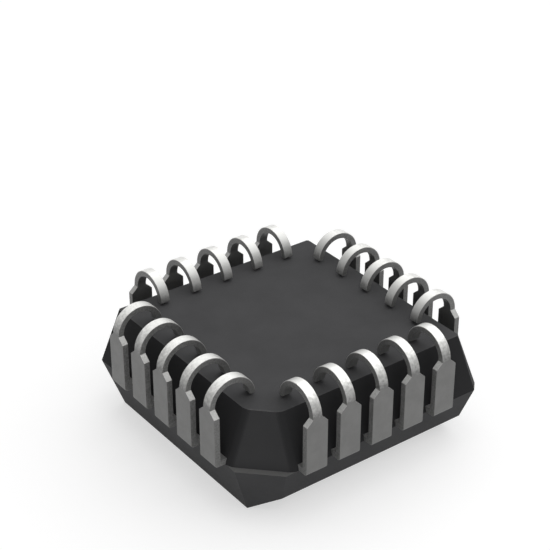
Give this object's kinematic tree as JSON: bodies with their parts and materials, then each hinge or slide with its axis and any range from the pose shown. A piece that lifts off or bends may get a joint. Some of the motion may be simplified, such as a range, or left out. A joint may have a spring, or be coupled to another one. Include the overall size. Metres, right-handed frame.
{
  "type": "plastic leaded chip carrier",
  "caption": "Square plastic chip package with J-bend leads curled over its underside on all sides, a bevelled pin-one side and a cut index corner.",
  "frame": {"origin": "centre of the flat top face, which the chip lies on as it was pictured, with its leads up", "axes": "+Z from the top face to the contact bends of the leads, -Y towards the bevelled side that has pin one in its middle, and the index corner at -X, -Y. Turn the part by 180 degrees about X for the position it has on a board."},
  "size_m": [0.0098, 0.0098, 0.0046],
  "materials": {
    "epoxy": "moulded from silica-filled epoxy in a spark-eroded mould, fine satin grain",
    "tinned_copper": "copper alloy strip, stamped and bent, matte tin plated",
    "bare_copper": "bare copper alloy sheet, stamped",
    "silver_epoxy": "silver-filled adhesive, cured",
    "silicon": "polished and passivated silicon",
    "gold": "drawn gold wire"
  },
  "bodies": {
    "root": {"moulded_body": "epoxy", "die_pad": "bare_copper", "die_attach": "silver_epoxy", "silicon_die": "silicon", "lead_01": "tinned_copper", "lead_02": "tinned_copper", "lead_03": "tinned_copper", "lead_04": "tinned_copper", "lead_05": "tinned_copper", "lead_06": "tinned_copper", "lead_07": "tinned_copper", "lead_08": "tinned_copper", "lead_09": "tinned_copper", "lead_10": "tinned_copper", "lead_11": "tinned_copper", "lead_12": "tinned_copper", "lead_13": "tinned_copper", "lead_14": "tinned_copper", "lead_15": "tinned_copper", "lead_16": "tinned_copper", "lead_17": "tinned_copper", "lead_18": "tinned_copper", "lead_19": "tinned_copper", "lead_20": "tinned_copper", "bond_wire_01": "gold", "bond_wire_02": "gold", "bond_wire_03": "gold", "bond_wire_04": "gold", "bond_wire_05": "gold", "bond_wire_06": "gold", "bond_wire_07": "gold", "bond_wire_08": "gold", "bond_wire_09": "gold", "bond_wire_10": "gold", "bond_wire_11": "gold", "bond_wire_12": "gold", "bond_wire_13": "gold", "bond_wire_14": "gold", "bond_wire_15": "gold", "bond_wire_16": "gold", "bond_wire_17": "gold", "bond_wire_18": "gold", "bond_wire_19": "gold", "bond_wire_20": "gold"}
  },
  "joints": []
}
